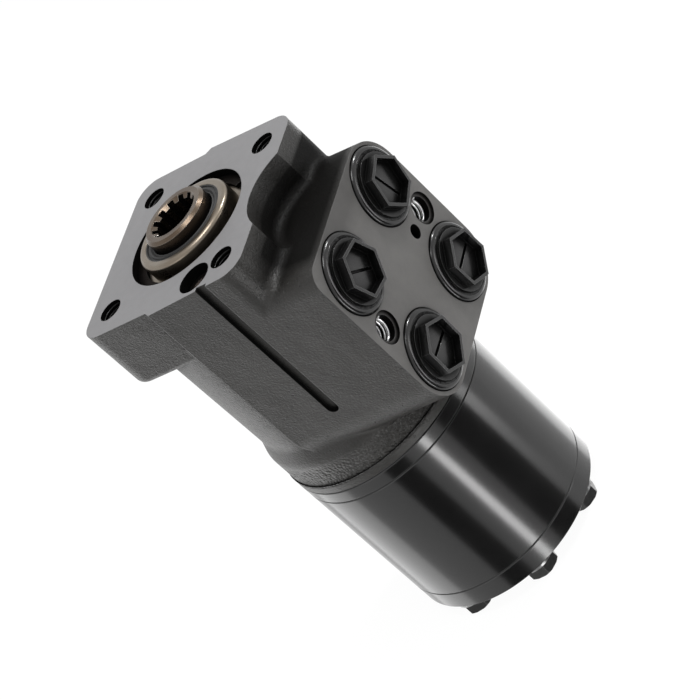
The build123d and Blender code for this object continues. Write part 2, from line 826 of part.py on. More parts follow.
nodes = {
    "housing": housing(),
    "gland_bushing": gland_bushing(),
    "gland_retaining_ring": retaining_ring(),
    "gland_seal": gland_seal(),
    "dust_seal": dust_seal(),
    "shaft_seal": shaft_seal(),
    "bearing_race_upper": bearing_race(race_top),
    "needle_cage": needle_cage(),
    "bearing_race_lower": bearing_race(lower_race_top),
    "spool": spool(),
    "sleeve": sleeve(),
    "spring_ring": spring_ring(),
    "centring_springs": centring_springs(),
    "cross_pin": cross_pin(),
    "drive_link": drive_link(),
    "distributor_plate": distributor_plate(),
    "gerotor_ring": gerotor_ring(),
    "rotor": rotor(),
    "spacer_disc": spacer_disc(),
    "end_cap": end_cap(),
    "housing_face_seal": face_seal(plate_top - seal_height),
    "plate_face_seal": face_seal(ring_top - seal_height),
    "cap_face_seal": face_seal(cap_top),
    "cap_screws": cap_screws(),
    "pin_screw": pin_screw(),
    "screw_washers": screw_washers(),
    "check_ball": check_ball(),
    "check_bushing": check_bushing(),
}
for number, plug in enumerate(seated_plugs(), start=1):
    nodes[f"port_plug_{number}"] = plug

os.makedirs("parts", exist_ok=True)
for name, shape in nodes.items():
    export_step(shape, f"parts/{name}.step")
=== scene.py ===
# %% [markdown]
# # A hydraulic steering valve
# The valve sits under a steering wheel and meters oil to the steering cylinder. It is one iron
# casting with four ports, a stack of round plates under it, and a polished hub that the steering
# column turns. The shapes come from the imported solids; this file adds what a solid can't show:
# the sand-cast skin, the paint, the ground steel, the moulded plugs, the threads and the light.

# %% Load the solids
from math import cos, pi, radians, sin, sqrt

import bmesh
import bpy
from mathutils import Matrix, Vector


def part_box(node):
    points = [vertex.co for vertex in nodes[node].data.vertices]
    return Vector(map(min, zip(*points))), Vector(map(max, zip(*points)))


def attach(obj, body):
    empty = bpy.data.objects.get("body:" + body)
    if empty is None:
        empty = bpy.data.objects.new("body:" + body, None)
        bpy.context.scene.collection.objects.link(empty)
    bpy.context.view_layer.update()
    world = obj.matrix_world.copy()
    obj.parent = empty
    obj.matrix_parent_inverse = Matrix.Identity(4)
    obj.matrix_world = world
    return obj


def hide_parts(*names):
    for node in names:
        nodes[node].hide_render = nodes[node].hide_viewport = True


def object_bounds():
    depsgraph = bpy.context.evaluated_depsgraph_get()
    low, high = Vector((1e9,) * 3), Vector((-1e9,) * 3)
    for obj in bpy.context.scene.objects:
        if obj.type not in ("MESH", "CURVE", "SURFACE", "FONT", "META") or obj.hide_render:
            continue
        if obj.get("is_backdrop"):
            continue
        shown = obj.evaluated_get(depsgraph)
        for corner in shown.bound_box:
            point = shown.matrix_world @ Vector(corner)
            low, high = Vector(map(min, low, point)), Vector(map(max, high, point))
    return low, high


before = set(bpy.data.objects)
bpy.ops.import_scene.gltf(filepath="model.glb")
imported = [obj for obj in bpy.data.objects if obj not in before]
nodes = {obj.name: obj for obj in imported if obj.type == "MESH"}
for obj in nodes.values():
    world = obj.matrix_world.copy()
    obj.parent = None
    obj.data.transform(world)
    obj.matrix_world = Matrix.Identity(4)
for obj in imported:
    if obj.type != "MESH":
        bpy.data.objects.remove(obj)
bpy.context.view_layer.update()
mm = 0.001

# %% [markdown]
# ## Writing shader maths as plain expressions
# A finish is mostly arithmetic on positions: how far a point is from a hole's axis, whether it is on
# a machined face. Written as nodes that arithmetic is hard to read, so one small class wraps a socket
# and turns Python's own operators into Math nodes. Any other node comes from one method.

# %% A signal
class Signal:
    """A number that changes over a surface."""

    def __init__(self, finish, socket):
        self.finish = finish
        self.socket = socket

    def math(self, operation, *values, clamp=False):
        settings = {"operation": operation, "use_clamp": clamp}
        return self.finish.node("ShaderNodeMath", settings, dict(enumerate(values)))

    def __add__(self, other):
        return self.math("ADD", self, other)

    def __sub__(self, other):
        return self.math("SUBTRACT", self, other)

    def __rsub__(self, other):
        return self.math("SUBTRACT", other, self)

    def __mul__(self, other):
        return self.math("MULTIPLY", self, other)

    def __pow__(self, other):
        return self.math("POWER", self, other)

    __radd__ = __add__
    __rmul__ = __mul__

    def abs(self):
        return self.math("ABSOLUTE", self)

    def most(self, other):
        return self.math("MAXIMUM", self, other)

    def least(self, other):
        return self.math("MINIMUM", self, other)

    def above(self, edge, blur=0.1):
        """1 where the signal is over the edge, 0 where it is under, with a soft step between."""
        return self.math("MULTIPLY_ADD", self, 1 / blur, 0.5 - edge / blur, clamp=True)

    def below(self, edge, blur=0.1):
        return self.math("MULTIPLY_ADD", self, -1 / blur, 0.5 + edge / blur, clamp=True)


# %% [markdown]
# ## A finish
# A material could be wired by hand in the editor, but then nobody can read why it looks as it does.
# Here one class holds a material and the few patterns that its finishes share: noise, scattered
# grains, rounded edges, wear where an edge leans away, and relief. All of them read positions on
# the object, so a pattern stays on its piece when the piece moves.

# %% The finish and its patterns
class Finish:
    """A material whose nodes are made from Python expressions."""

    def __init__(self, name, **constants):
        self.material = bpy.data.materials.new(name)
        self.material.use_nodes = True
        self.tree = self.material.node_tree
        self.shader = self.tree.nodes["Principled BSDF"]
        for socket, value in constants.items():
            self.shader.inputs[socket.replace("_", " ")].default_value = value

    def node(self, kind, settings=None, inputs=None, output=0):
        made = self.tree.nodes.new(kind)
        for name, value in (settings or {}).items():
            setattr(made, name, value)
        for key, value in (inputs or {}).items():
            self.feed(made.inputs[key], value)
        return Signal(self, made.outputs[output])

    def feed(self, socket, value):
        if isinstance(value, Signal):
            self.tree.links.new(value.socket, socket)
        else:
            socket.default_value = value

    def place(self):
        """Where a point is, in millimetres, as three signals."""
        point = self.node("ShaderNodeTexCoord", output="Object")
        return self.split(self.scaled(point, 1 / mm))

    def facing(self):
        """The surface's own direction, as three signals from -1 to 1."""
        return self.split(self.node("ShaderNodeTexCoord", output="Normal"))

    def scaled(self, vector, factor):
        factors = factor if isinstance(factor, tuple) else (factor,) * 3
        return self.node("ShaderNodeVectorMath", {"operation": "MULTIPLY"}, {0: vector, 1: factors})

    def split(self, vector):
        parts = self.node("ShaderNodeSeparateXYZ", inputs={0: vector}).socket.node.outputs
        return [Signal(self, part) for part in parts]

    def join(self, x, y, z):
        return self.node("ShaderNodeCombineXYZ", inputs={0: x, 1: y, 2: z})

    def noise(self, size, detail=2.0, stretch=(1.0, 1.0, 1.0), rough=0.5):
        """Cloudy noise whose blobs are about size millimetres across."""
        point = self.node("ShaderNodeTexCoord", output="Object")
        point = self.scaled(point, tuple(s / (size * mm) for s in stretch))
        inputs = {"Vector": point, "Scale": 1.0, "Detail": detail, "Roughness": rough}
        return self.node("ShaderNodeTexNoise", {}, inputs)

    def grains(self, size):
        """Distance to the nearest of many scattered grains, 0 at a grain's middle."""
        point = self.node("ShaderNodeTexCoord", output="Object")
        inputs = {"Vector": self.scaled(point, 1 / (size * mm)), "Scale": 1.0}
        return self.node("ShaderNodeTexVoronoi", {"feature": "F1"}, inputs)

    def blend(self, share, start, end):
        """A colour that goes from start to end as share goes from 0 to 1."""
        inputs = {"Factor": share, 6: start, 7: end}
        return self.node("ShaderNodeMix", {"data_type": "RGBA"}, inputs, output=2)

    def rounded_edges(self, radius):
        """The surface's direction as if every sharp edge were rounded to radius millimetres."""
        return self.node("ShaderNodeBevel", {"samples": 4}, {"Radius": radius * mm})

    def wear(self, rounded):
        """0 on a flat, towards 1 on an edge, from how far the rounded direction leans."""
        flat = self.node("ShaderNodeNewGeometry", output="Normal")
        sides = {0: rounded, 1: flat}
        dot = self.node("ShaderNodeVectorMath", {"operation": "DOT_PRODUCT"}, sides, output="Value")
        return ((1 - dot) * 4.0).least(1.0)

    def relief(self, height, depth, normal=None):
        """Bumps of depth millimetres where height goes from 0 to 1."""
        inputs = {"Height": height, "Distance": depth * mm, "Strength": 1.0}
        if normal:
            inputs["Normal"] = normal
        return self.node("ShaderNodeBump", {}, inputs)

    def finish(self, **feeds):
        for socket, value in feeds.items():
            self.feed(self.shader.inputs[socket.replace("_", " ")], value)
        return self.material

    def paint_hollow_shade(self, reach, share, painted_shade_mask=0.0):
        """Paints shade into corners and hollows: mixes in a dull dark shader, up to share, within reach
        millimetres.

        The last argument is a mask of places that get this painted shade whatever the corners say."""
        inputs = {"Distance": reach * mm}
        openness = self.node("ShaderNodeAmbientOcclusion", {"samples": 8}, inputs, output="AO")
        # The dull dark diffuse is the painted shade.
        dull = self.node("ShaderNodeBsdfDiffuse", {}, {"Color": grey(0.0025), "Roughness": 0.9})
        lit = Signal(self, self.shader.outputs[0])
        depth = openness.below(0.74, 0.36).most(painted_shade_mask) * share
        mixed = self.node("ShaderNodeMixShader", {}, {0: depth, 1: lit, 2: dull})
        self.tree.links.new(mixed.socket, self.tree.nodes["Material Output"].inputs["Surface"])


def grey(level):
    return (level, level, level, 1.0)


def ring_distance(x, y):
    return (x * x + y * y) ** 0.5


def add_object(name, data):
    made = bpy.data.objects.new(name, data)
    bpy.context.scene.collection.objects.link(made)
    return made


def dress(node, material):
    """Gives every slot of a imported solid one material."""
    solid = nodes[node]
    if not solid.material_slots:
        solid.data.materials.append(material)
    for slot in solid.material_slots:
        slot.material = material


# %% [markdown]
# ## Painted casting
# The housing is poured in a sand mould, so its sides keep the grain of the sand under the black
# paint. The faces that mate with other parts are milled flat before painting and look smoother. Their
# lighter grey is partly the milled face and partly painted light, most of it on the flange face. One
# material does all of it: masks made from a point's position say which skin it is on.
# The pocket between the flange and the port block is nearly black in the photograph. Its shape alone
# doesn't make it so dark here, so a mask by position paints shade into it, dull and dark, on top of the
# painted shade that every corner and hollow of the casting gets. The mask has no upper limit in y, so
# it also paints shade on a square of the far flank, which is a known fault of this finish.

# %% The casting's skins
column_hole_reach = 82.5 / 2 / sqrt(2)
port_face_x = 60.0
spotface_depth = 0.8
port_y, upper_port, lower_port = 22.0, -34.3, -78.8
plug_seats = [(y, z) for z in (upper_port, lower_port) for y in (port_y, -port_y)]
block_hole_y, block_hole_z = 30.0, -56.0
recess_reach = 28.7
print("ports at", plug_seats)


def casting_finish():
    skin = Finish("painted_casting", IOR=1.5, Specular_IOR_Level=0.36)
    x, y, z = skin.place()
    nx, _, nz = skin.facing()
    axis_distance = ring_distance(x, y)
    column_face = z.above(-0.25) * nz.above(0.9)
    port_face = x.above(port_face_x - 1.2) * nx.above(0.9)
    column_holes = ring_distance(x.abs() - column_hole_reach, y.abs() - column_hole_reach).below(5.3)
    column_holes = column_holes * z.above(-19.5) * nz.below(0.9)
    recess = axis_distance.below(recess_reach) * z.above(-8.4) * (1 - column_face)
    block_holes = ring_distance(y.abs() - block_hole_y, z - block_hole_z).below(6.45)
    port_row = (z - (upper_port + lower_port) / 2).abs() - (upper_port - lower_port) / 2
    spotfaces = ring_distance(y.abs() - port_y, port_row).below(15.9)
    sunk = x.below(port_face_x - 0.2) * x.above(port_face_x - 19.0) * block_holes.most(spotfaces)
    bored = column_holes.most(recess).most(sunk)
    milled = column_face.most(port_face).most(bored)
    cast = 1 - milled

    coarse_band = z.below(-94.0, 3.0) * z.above(-104.0, 1.0)
    grain = skin.noise(0.85, detail=3.0, rough=0.6)
    pebbles = skin.grains(1.25)
    swell = skin.noise(16.0, detail=2.0)
    pits = skin.noise(1.3, detail=1.0).above(0.70, 0.06) * skin.noise(11.0).above(0.52, 0.15)
    specks = skin.grains(0.9)
    grit = grain * 1.1 + swell * 2.2 - pits * 0.8 - pebbles * coarse_band * 3.0
    grit = grit * cast
    tool_marks = skin.noise(0.5, detail=2.0, stretch=(0.15, 1.0, 1.0)) * milled * 0.10
    rounded = skin.rounded_edges(0.45)
    worn = skin.wear(rounded)

    cloud = skin.noise(30.0, detail=3.0)
    patch = skin.noise(4.0, detail=3.0)
    paint = skin.blend(cloud, (0.0105, 0.0100, 0.0090, 1.0), (0.022, 0.0205, 0.0185, 1.0))
    paint = skin.blend(specks.below(0.22, 0.2) * cast * 0.3, paint, grey(0.05))
    # Painted shade: the pits are painted darker than the paint round them.
    paint = skin.blend(pits * 0.8, paint, grey(0.003))
    # The port face's grey is partly the milled face's own tone and partly painted light.
    milled_and_lit_grey = skin.blend(patch, (0.066, 0.064, 0.062, 1.0), (0.090, 0.087, 0.084, 1.0))
    color = skin.blend(port_face, paint, milled_and_lit_grey)
    # The flange face's lighter grey is partly the milled face's own tone and partly painted light from
    # the lamp above it.
    face = skin.blend(patch, (0.150, 0.148, 0.152, 1.0), (0.192, 0.190, 0.194, 1.0))
    color = skin.blend(column_face, color, face)
    color = skin.blend(bored, color, (0.017, 0.015, 0.014, 1.0))
    color = skin.blend(worn * 0.35, color, grey(0.22))
    rough = 0.24 + patch * 0.10 + column_face * 0.16 + port_face * 0.16 + grain * cast * 0.12
    skin.finish(Base_Color=color, Roughness=rough, Normal=skin.relief(grit + tool_marks, 0.26, rounded))
    # Painted shade: a box by position round the pocket, plus every corner and hollow, gets a dull dark
    # shader mixed in.
    pocket_depth = x.above(17.0, 4.0) * x.below(59.0, 6.0)
    pocket_height = z.above(-27.0, 6.0) * z.below(-7.0, 2.0)
    pocket = pocket_depth * pocket_height * y.above(-30.0, 8.0)
    skin.paint_hollow_shade(24.0, 0.93, pocket * 0.86)
    return skin.material


casting_paint = casting_finish()
dress("housing", casting_paint)
print("painted casting:", len(casting_paint.node_tree.nodes), "nodes")

# %% [markdown]
# ## Turned and painted stack
# The gerotor ring, its plate and the end cap are turned from steel and painted a glossy black. Turning
# leaves fine rings round the axis. They show as a slight wave in the reflections, so the bump follows
# the height along the axis and hardly changes around it.

# %% Gloss black on turned steel
def turned_finish():
    skin = Finish("turned_gloss_black", IOR=1.5)
    tool_lines = skin.noise(0.8, detail=2.0, stretch=(0.02, 0.02, 1.0))
    drift = skin.noise(22.0, detail=3.0)
    dust = skin.noise(1.2, detail=2.0)
    rounded = skin.rounded_edges(0.35)
    color = skin.blend(drift, grey(0.004), grey(0.008))
    color = skin.blend(skin.wear(rounded) * 0.4, color, grey(0.16))
    rough = 0.13 + drift * 0.05 + dust * 0.04
    wave = skin.relief(tool_lines * 0.3 + drift, 0.02, rounded)
    return skin.finish(Base_Color=color, Roughness=rough, Normal=wave)


turned_paint = turned_finish()
for name in ("distributor_plate", "gerotor_ring", "end_cap"):
    dress(name, turned_paint)

# %% [markdown]
# ## Ground steel at the column end
# The hub and the gland round it are bare ground steel, a little warm from the oil. Grinding leaves
# rings round the axis, so the roughness and the bump follow the distance from the axis.

# %% Bare steels
grinding_ring = 0.35


def steel_finish(name, color, warm, rough, shade_reach):
    skin = Finish(name, Metallic=1.0)
    x, y, z = skin.place()
    along = skin.join(ring_distance(x, y), z, 0.0)
    ground = {"Vector": along, "Scale": 1 / grinding_ring, "Detail": 2.0}
    rings = skin.node("ShaderNodeTexNoise", {}, ground)
    stain = skin.noise(9.0, detail=4.0)
    pits = skin.noise(0.7, detail=2.0)
    rounded = skin.rounded_edges(0.25)
    tint = skin.blend(stain, color, warm)
    tint = skin.blend(skin.wear(rounded) * 0.5, tint, (0.72, 0.70, 0.66, 1.0))
    sheen = rough + stain * 0.16 + rings * 0.10
    scratches = skin.relief(rings + pits * 0.4, 0.012, rounded)
    skin.finish(Base_Color=tint, Roughness=sheen, Normal=scratches)
    # Painted shade: where a reach is given, a dull dark shader is mixed into corners and hollows.
    if shade_reach:
        skin.paint_hollow_shade(shade_reach, 0.9)
    return skin.material


# The last number in each look is how far in millimetres painted shade reaches into corners and hollows;
# 0 gives none.
steels = {
    "gland_ground_steel": ((0.25, 0.225, 0.19, 1), (0.15, 0.115, 0.08, 1), 0.17, 0.0),
    "hub_bronzed_steel": ((0.16, 0.13, 0.10, 1), (0.055, 0.034, 0.022, 1), 0.13, 7.0),
    "oil_dark_steel": ((0.045, 0.034, 0.028, 1), (0.02, 0.014, 0.011, 1), 0.34, 8.0),
    "inner_ground_steel": ((0.46, 0.46, 0.45, 1), (0.38, 0.37, 0.35, 1), 0.20, 0.0),
    "blued_spring_steel": ((0.10, 0.11, 0.14, 1), (0.14, 0.13, 0.13, 1), 0.26, 0.0),
}
made_steels = [steel_finish(name, *look) for name, look in steels.items()]
gland_steel, hub_steel, oiled_steel, inner_steel, spring_steel = made_steels
print(len(made_steels), "steels")
dress("gland_bushing", gland_steel)
dress("spool", hub_steel)
inner_nodes = ["sleeve", "rotor", "drive_link", "cross_pin", "spacer_disc", "bearing_race_upper"]
inner_nodes += ["bearing_race_lower", "needle_cage", "check_ball", "check_bushing", "spring_ring"]
for name in inner_nodes:
    dress(name, inner_steel)
dress("centring_springs", spring_steel)
dress("gland_retaining_ring", oiled_steel)

# %% [markdown]
# ## Rubber, moulded plastic and blackened screws
# The seals are matt black rubber. The shipping plugs are glossy moulded plastic, with a faint flow
# pattern. The screws are hot-blackened, so they are dark with a dull metallic shine.

# %% Small-part finishes
def rubber_finish():
    skin = Finish("seal_rubber", IOR=1.45)
    bloom = skin.noise(2.0, detail=3.0)
    color = skin.blend(bloom, grey(0.008), grey(0.020))
    return skin.finish(Base_Color=color, Roughness=0.5 + bloom * 0.2, Normal=skin.relief(bloom, 0.02))


def plastic_finish():
    skin = Finish("moulded_black_plastic", IOR=1.5)
    flow = skin.noise(5.0, detail=2.0, stretch=(1.0, 0.4, 0.4))
    haze = skin.noise(0.9, detail=2.0)
    rounded = skin.rounded_edges(0.22)
    color = skin.blend(flow, grey(0.003), grey(0.006))
    color = skin.blend(skin.wear(rounded) * 0.6, color, grey(0.17))
    rough = 0.15 + flow * 0.08 + haze * 0.04
    skin.finish(Base_Color=color, Roughness=rough, Normal=skin.relief(flow, 0.05, rounded))
    # Painted shade: a dull dark shader is mixed into the plug's cups and corners.
    skin.paint_hollow_shade(7.0, 0.85)
    return skin.material


def screw_finish():
    skin = Finish("blackened_screw", Metallic=0.6)
    scale = skin.noise(1.6, detail=3.0)
    rounded = skin.rounded_edges(0.3)
    color = skin.blend(scale, grey(0.010), grey(0.028))
    color = skin.blend(skin.wear(rounded) * 0.5, color, grey(0.20))
    relief = skin.relief(scale, 0.03, rounded)
    return skin.finish(Base_Color=color, Roughness=0.30 + scale * 0.2, Normal=relief)


def zinc_finish():
    skin = Finish("zinc_washer", Metallic=1.0)
    spangle = skin.grains(1.4)
    color = skin.blend(spangle, grey(0.16), grey(0.30))
    relief = skin.relief(spangle, 0.01)
    return skin.finish(Base_Color=color, Roughness=0.28 + spangle * 0.15, Normal=relief)


seal_rubber = rubber_finish()
plug_plastic = plastic_finish()
screw_black = screw_finish()
washer_zinc = zinc_finish()
for place in ("dust", "shaft", "gland", "housing_face", "plate_face", "cap_face"):
    dress(place + "_seal", seal_rubber)
for number in range(1, 5):
    dress(f"port_plug_{number}", plug_plastic)
for name in ("cap_screws", "pin_screw"):
    dress(name, screw_black)
dress("screw_washers", washer_zinc)

# %% [markdown]
# ## Threads cut by a tap
# Four tapped holes take the steering column's screws and two take a valve block. A tap leaves a
# helical crest, and in the photograph the first turns catch the light inside the dark holes. The
# crest is grown by Geometry Nodes: a spiral curve gets a four-sided wire as its profile, and one
# copy is set into each hole. Pitch, radius and depth are inputs, so the same recipe makes both
# sets of holes and the threads on the plugs' stems.

# %% A recipe for threads
class Recipe:
    """A Geometry Nodes tree that is written as plain calls."""

    def __init__(self, name):
        self.tree = bpy.data.node_groups.new(name, "GeometryNodeTree")
        self.tree.interface.new_socket("Geometry", in_out="INPUT", socket_type="NodeSocketGeometry")
        self.tree.interface.new_socket("Geometry", in_out="OUTPUT", socket_type="NodeSocketGeometry")
        self.given = self.tree.nodes.new("NodeGroupInput")
        self.result = self.tree.nodes.new("NodeGroupOutput")

    def size(self, name, value, kind="NodeSocketFloat"):
        socket = self.tree.interface.new_socket(name, in_out="INPUT", socket_type=kind)
        socket.default_value = value
        return self.given.outputs[name]

    def step(self, kind, inputs, output=0, **settings):
        made = self.tree.nodes.new(kind)
        for name, value in settings.items():
            setattr(made, name, value)
        for key, value in inputs.items():
            if isinstance(value, bpy.types.NodeSocket):
                self.tree.links.new(value, made.inputs[key])
            else:
                made.inputs[key].default_value = value
        return made.outputs[output]

    def math(self, operation, a, b):
        return self.step("ShaderNodeMath", {0: a, 1: b}, operation=operation)

    def end(self, geometry, material):
        real = self.step("GeometryNodeRealizeInstances", {"Geometry": geometry})
        dressed = self.step("GeometryNodeSetMaterial", {"Geometry": real, "Material": material})
        self.tree.links.new(dressed, self.result.inputs["Geometry"])


def grown(name, recipe, values, body, material):
    """Runs a recipe once and keeps the plain mesh that it makes, riding on a body."""
    seed = add_object(name + "_seed", bpy.data.meshes.new(name + "_seed"))
    modifier = seed.modifiers.new("recipe", "NODES")
    modifier.node_group = recipe.tree
    for item in recipe.tree.interface.items_tree:
        if item.in_out == "INPUT" and item.name in values:
            modifier[item.identifier] = values[item.name]
    made = seed.evaluated_get(bpy.context.evaluated_depsgraph_get())
    mesh = bpy.data.meshes.new_from_object(made)
    mesh.name = name
    bpy.data.objects.remove(seed)
    mesh.materials.clear()
    mesh.materials.append(material)
    piece = add_object(name, mesh)
    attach(piece, body)
    print(name, len(mesh.polygons), "faces")
    return piece


# %% [markdown]
# ## The thread itself
# A real thread is a V groove along a helix. Only its crest is seen, so a helix with a small
# four-sided wire round it is enough, and it is far lighter than a cut thread. The grid's points
# say where the holes are, and one coil is set on each.

# %% A coil in every hole
def thread_recipe(material):
    recipe = Recipe("tapped_thread")
    pitch = recipe.size("Pitch", 1.5 * mm)
    radius = recipe.size("Radius", 5.0 * mm)
    depth = recipe.size("Depth", 16.0 * mm)
    wire = recipe.size("Wire", 0.5 * mm)
    columns = recipe.size("Columns", 2, "NodeSocketInt")
    rows = recipe.size("Rows", 2, "NodeSocketInt")
    wide = recipe.size("Wide", 60.0 * mm)
    high = recipe.size("High", 60.0 * mm)
    middle = recipe.size("Middle", (0.0, 0.0, 0.0), "NodeSocketVector")
    turn = recipe.size("Turn", (0.0, 0.0, 0.0), "NodeSocketVector")
    turns = recipe.math("DIVIDE", depth, pitch)
    coil = {"Resolution": 24, "Rotations": turns, "Height": depth}
    coil.update({"Start Radius": radius, "End Radius": radius})
    spiral = recipe.step("GeometryNodeCurveSpiral", coil)
    ring = recipe.step("GeometryNodeCurvePrimitiveCircle", {"Resolution": 4, "Radius": wire})
    sweep = {"Curve": spiral, "Profile Curve": ring, "Fill Caps": True}
    crest = recipe.step("GeometryNodeCurveToMesh", sweep)
    grid = {"Size X": wide, "Size Y": high, "Vertices X": columns, "Vertices Y": rows}
    spots = recipe.step("GeometryNodeMeshGrid", grid)
    copies = recipe.step("GeometryNodeInstanceOnPoints", {"Points": spots, "Instance": crest})
    move = {"Geometry": copies, "Translation": middle, "Rotation": turn}
    recipe.end(recipe.step("GeometryNodeTransform", move), material)
    return recipe


def thread_finish(name, dull, bright):
    skin = Finish(name, Metallic=1.0)
    swarf = skin.noise(0.8, detail=2.0)
    color = skin.blend(swarf, grey(dull), grey(bright))
    return skin.finish(Base_Color=color, Roughness=0.22 + swarf * 0.14)


# %% [markdown]
# ## Three sets of threads
# The column's four holes are deep, and their crests get a near-black copy of the thread finish as
# painted shade. The two holes between the ports are bare metal, which glints in the photograph. The
# plugs' threads are moulded with them.

# %% Cutting the threads
thread_bright = thread_finish("bright_cut_thread", 0.62, 0.92)
# The column holes' crests get a near-black copy of the thread finish: painted shade for the depth of
# those holes.
thread_shaded = thread_finish("shaded_thread", 0.012, 0.045)
tapped = thread_recipe(thread_bright)
sideways = (0.0, pi / 2, 0.0)
column_spacing = 2 * column_hole_reach * mm
column_threads = {"Depth": 16.5 * mm, "Radius": 5.1 * mm, "Middle": (0.0, 0.0, -18.0 * mm)}
column_threads.update({"Wide": column_spacing, "High": column_spacing})
grown("column_hole_threads", tapped, column_threads, "valve_body", thread_shaded)

block_threads = {"Pitch": 1.9 * mm, "Wire": 0.72 * mm, "Depth": 14.5 * mm, "Radius": 5.0 * mm}
block_threads.update({"Wide": 0.0, "High": 2 * block_hole_y * mm, "Columns": 1, "Turn": sideways})
block_threads["Middle"] = ((port_face_x - 17.2) * mm, 0.0, block_hole_z * mm)
grown("block_hole_threads", tapped, block_threads, "valve_body", thread_bright)

for number, (y, z) in enumerate(plug_seats, start=1):
    stem = {"Pitch": 1.8 * mm, "Depth": 9.0 * mm, "Radius": 9.9 * mm, "Wire": 0.42 * mm}
    stem.update({"Wide": 0.0, "High": 0.0, "Columns": 1, "Rows": 1, "Turn": sideways})
    stem["Middle"] = ((port_face_x - 12.0) * mm, y * mm, z * mm)
    grown(f"plug_thread_{number}", tapped, stem, f"plug_unit_{number}", plug_plastic)

# %% [markdown]
# ## Turned rings at the hub
# The gland ring is turned with a well-rounded outer edge that carries the brightest highlight of the
# column end. The dust seal sits in it with one thick and one thin lip. Both are lathe work, so both
# are made from a profile that is spun round the axis. The check bushing lies 4 mm deep in its hole
# in the photograph and higher in the solid, so a turned ring at the right depth takes its place.

# %% A lathe
def lathe(name, profile, material, body, steps=160, middle=(0.0, 0.0)):
    """Spins a closed profile of (radius, height) points in millimetres round an upright line."""
    rows = len(profile)
    rays = [(cos(2 * pi * i / steps), sin(2 * pi * i / steps)) for i in range(steps)]
    cx, cy = middle
    points = [((cx + r * c) * mm, (cy + r * t) * mm, h * mm) for c, t in rays for r, h in profile]
    faces = []
    for i in range(steps):
        here, there = i * rows, (i + 1) % steps * rows
        for k in range(rows):
            after = (k + 1) % rows
            faces.append((here + k, there + k, there + after, here + after))
    mesh = bpy.data.meshes.new(name)
    mesh.from_pydata(points, [], faces)
    work = bmesh.new()
    work.from_mesh(mesh)
    bmesh.ops.recalc_face_normals(work, faces=work.faces)
    work.to_mesh(mesh)
    work.free()
    mesh.shade_smooth()
    mesh.set_sharp_from_angle(angle=radians(28))
    mesh.materials.append(material)
    piece = add_object(name, mesh)
    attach(piece, body)
    return piece


def quarter_round(radius, height, size, steps=10):
    """A rounded outer corner, from its upper end to its lower one."""
    turns = [pi / 2 * (1 - i / steps) for i in range(steps + 1)]
    return [(radius - size + size * cos(t), height - size + size * sin(t)) for t in turns]


# %% [markdown]
# ## The profiles
# Each ring's outline is a short list of radii and heights, read off the solid that it stands for, so
# the ring stays where that solid is. The plugs' collars are turned flat and then set on their side.

# %% Gland ring, dust seal, collars and bushing
def gland_ring():
    lo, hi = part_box("gland_bushing")
    top, low = hi.z / mm, lo.z / mm
    crown = [(18.0, top - 3.6), (18.0, top - 0.25), (18.25, top)]
    body = quarter_round(21.5, top, 1.7)
    shoulder = [(21.5, -5.0), (24.5, -5.0), (24.5, -8.0), (21.5, -8.0)]
    foot = shoulder + [(21.5, low), (18.6, low), (18.6, -6.5), (16.2, -6.5), (16.2, top - 3.6)]
    ring = lathe("gland_ring", crown + body + foot, gland_steel, "valve_body")
    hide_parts("gland_bushing")
    return ring


def lipped_seal():
    lo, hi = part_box("dust_seal")
    top, low = hi.z / mm, lo.z / mm
    lips = [(18.0, low), (18.0, top), (17.5, top), (17.3, top - 0.5), (16.9, top - 0.5)]
    lips += [(16.6, top - 0.05), (15.9, top - 0.1), (15.2, top - 0.7), (14.7, top - 0.3)]
    lips += [(14.4, top - 0.9), (14.9, top - 1.8), (15.6, low)]
    seal = lathe("lipped_dust_seal", lips, seal_rubber, "valve_body")
    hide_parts("dust_seal")
    return seal


def plug_collar(number, y, z):
    """The soft collar that seals a plug in its spotface, with a rounded crown."""
    crown = [(13.9 + 1.8 * cos(t * pi / 12), 0.9 + 1.3 * sin(t * pi / 12)) for t in range(0, 7)]
    profile = [(12.7, 0.1), (15.7, 0.1)] + crown + [(12.7, 2.2)]
    collar = lathe(f"plug_collar_{number}", profile, plug_plastic, f"plug_unit_{number}", 96)
    seat = Matrix.Translation(Vector((port_face_x - spotface_depth, y, z)) * mm)
    collar.data.transform(seat @ Matrix.Rotation(pi / 2, 4, "Y"))
    return collar


def sunk_bushing():
    lo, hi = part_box("check_bushing")
    middle = ((lo.x + hi.x) / 2 / mm, (lo.y + hi.y) / 2 / mm)
    reach, low = (hi.x - lo.x) / 2 / mm, lo.z / mm
    profile = [(3.2, low), (3.2, -4.4), (3.6, -4.0), (reach - 0.6, -4.0), (reach, -4.6), (reach, low)]
    bushing = lathe("sunk_check_bushing", profile, oiled_steel, "valve_body", 48, middle)
    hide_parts("check_bushing")
    return bushing


collars = [plug_collar(number, *seat) for number, seat in enumerate(plug_seats, start=1)]
for ring in [gland_ring(), lipped_seal(), sunk_bushing()] + collars:
    print(ring.name, len(ring.data.polygons), "faces")

# %% [markdown]
# ## Camera
# The photograph looks down on the column end and the ports, with the valve's axis running to the
# lower right. The camera's place was fitted to corners that can be measured on the solids, so it
# stays fixed: bearing, height, roll and distance are the values of that fit.

